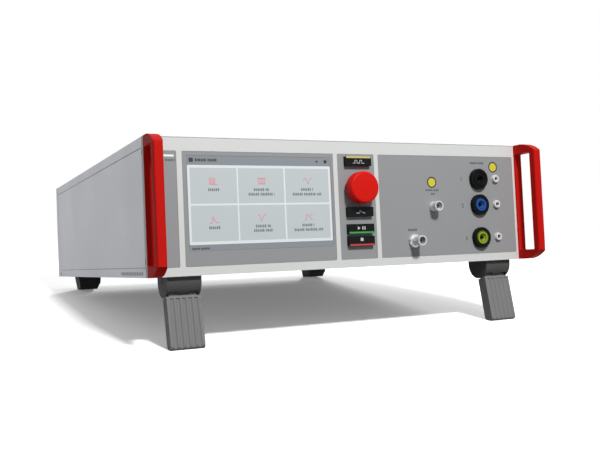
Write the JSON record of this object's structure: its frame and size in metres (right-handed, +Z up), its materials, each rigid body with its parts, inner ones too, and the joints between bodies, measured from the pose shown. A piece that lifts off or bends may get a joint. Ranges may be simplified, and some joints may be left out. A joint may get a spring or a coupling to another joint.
{
  "type": "surge generator",
  "caption": "Bench surge generator: light case on fold-out legs, red side handles, tile screen, dial and keys, coloured safety sockets and coaxial jacks.",
  "frame": {"origin": "on the floor under the middle of the overall box, with the tilt legs opened", "axes": "+X to the right seen from the front, +Y to the back, +Z up; the case itself is tipped back about X by 5.62 degrees on its legs"},
  "size_m": [0.449, 0.5594, 0.2019],
  "materials": {
    "case_paint": "satin powder coat",
    "panel_grey": "matt printed foil",
    "light_guide": "clear frosted",
    "screen_glass": "clear hard coat over a lit screen",
    "dark_metal": "black sheet",
    "circuit_board": "solder resist",
    "steel": "zinc plated",
    "dial_red": "satin moulded",
    "key_black": "satin moulded",
    "bar_yellow": "satin",
    "bar_green": "satin",
    "bar_red": "satin",
    "socket_black": "satin moulded",
    "insert_blue": "satin moulded",
    "insert_green": "satin moulded",
    "contact_brass": "bright",
    "socket_white": "satin moulded",
    "jack_nickel": "nickel plated",
    "jack_white": "waxy",
    "handle_red": "satin powder coat",
    "side_aluminium": "satin anodised",
    "cover_paint": "satin",
    "inlet_black": "satin moulded",
    "foot_grey": "matt moulded",
    "leg_grey": "matt moulded",
    "foot_black": "matt",
    "capacitor_blue": "sleeve",
    "core_iron": "varnished laminations",
    "coil_copper": "enamelled wire"
  },
  "bodies": {
    "case": {"front_frame": "case_paint", "strip_panel": "panel_grey", "status_light": "light_guide", "display_panel": "panel_grey", "display_glass": "screen_glass", "display_module": "dark_metal", "control_panel": "panel_grey", "key_board": "circuit_board", "encoder": "steel", "output_panel": "panel_grey", "line_socket": "socket_black", "neutral_socket": "socket_black", "neutral_insert": "insert_blue", "earth_socket": "socket_black", "earth_insert": "insert_green", "socket_contacts": "contact_brass", "sense_sockets": "socket_white", "hv_jack": "jack_nickel", "signal_jack": "jack_nickel", "signal_nut": "jack_nickel", "jack_cores": "jack_white", "handle_left": "handle_red", "handle_right": "handle_red", "handle_screws": "steel", "side_left": "side_aluminium", "side_right": "side_aluminium", "top_cover": "cover_paint", "bottom_cover": "cover_paint", "case_screws": "steel", "frame_screws": "steel", "rear_frame": "case_paint", "rear_panel": "cover_paint", "mains_inlet": "inlet_black", "eut_inlet": "inlet_black", "inlet_pins": "contact_brass", "fan_frame": "inlet_black", "foot_left": "foot_grey", "foot_right": "foot_grey", "leg_pins": "steel", "rear_feet": "foot_black", "foot_screws": "steel", "chassis_plate": "side_aluminium", "power_supply": "cover_paint", "main_board": "circuit_board", "capacitor_bank": "capacitor_blue", "transformer_core": "core_iron", "transformer_coil": "coil_copper"},
    "dial": {"knob": "dial_red"},
    "test_key": {"key_test": "key_black", "bar_test": "bar_yellow"},
    "pulse_key": {"key_pulse": "key_black"},
    "start_key": {"key_start": "key_black", "bar_start": "bar_green"},
    "stop_key": {"key_stop": "key_black", "bar_stop": "bar_red"},
    "left_leg": {"leg_left": "leg_grey"},
    "right_leg": {"leg_right": "leg_grey"},
    "rocker": {"mains_rocker": "inlet_black"},
    "fuses": {"fuse_drawer": "inlet_black"},
    "fan": {"fan_rotor": "inlet_black"}
  },
  "joints": [
    {"name": "dial_turn", "type": "hinge", "parent": "case", "child": "dial", "pos_m": [0.0033, -0.24269, 0.15182], "axis": [0, -0.9952, 0.0979], "continuous": true},
    {"name": "test_press", "type": "slide", "parent": "case", "child": "test_key", "axis": [0, 0.9952, -0.0979], "range_m": [0, 0.0015], "stiffness_N_per_m": 600, "springref_m": -0.0015},
    {"name": "pulse_press", "type": "slide", "parent": "case", "child": "pulse_key", "axis": [0, 0.9952, -0.0979], "range_m": [0, 0.0015], "stiffness_N_per_m": 600, "springref_m": -0.0015},
    {"name": "start_press", "type": "slide", "parent": "case", "child": "start_key", "axis": [0, 0.9952, -0.0979], "range_m": [0, 0.0015], "stiffness_N_per_m": 600, "springref_m": -0.0015},
    {"name": "stop_press", "type": "slide", "parent": "case", "child": "stop_key", "axis": [0, 0.9952, -0.0979], "range_m": [0, 0.0015], "stiffness_N_per_m": 600, "springref_m": -0.0015},
    {"name": "left_leg_fold", "type": "hinge", "parent": "case", "child": "left_leg", "pos_m": [-0.188, -0.22532, 0.06289], "axis": [1, 0, 0], "range_deg": [0, 101.2]},
    {"name": "right_leg_fold", "type": "hinge", "parent": "case", "child": "right_leg", "pos_m": [0.188, -0.22532, 0.06289], "axis": [1, 0, 0], "range_deg": [0, 101.2]},
    {"name": "rocker_tip", "type": "hinge", "parent": "case", "child": "rocker", "pos_m": [0.15, 0.2684, 0.10419], "axis": [-1, 0, 0], "range_deg": [0, 13]},
    {"name": "fuses_pull", "type": "slide", "parent": "case", "child": "fuses", "axis": [0, 0.9952, -0.0979], "range_m": [0, 0.024]},
    {"name": "fan_spin", "type": "hinge", "parent": "case", "child": "fan", "pos_m": [-0.13, 0.25657, 0.08606], "axis": [0, 0.9952, -0.0979], "continuous": true}
  ]
}
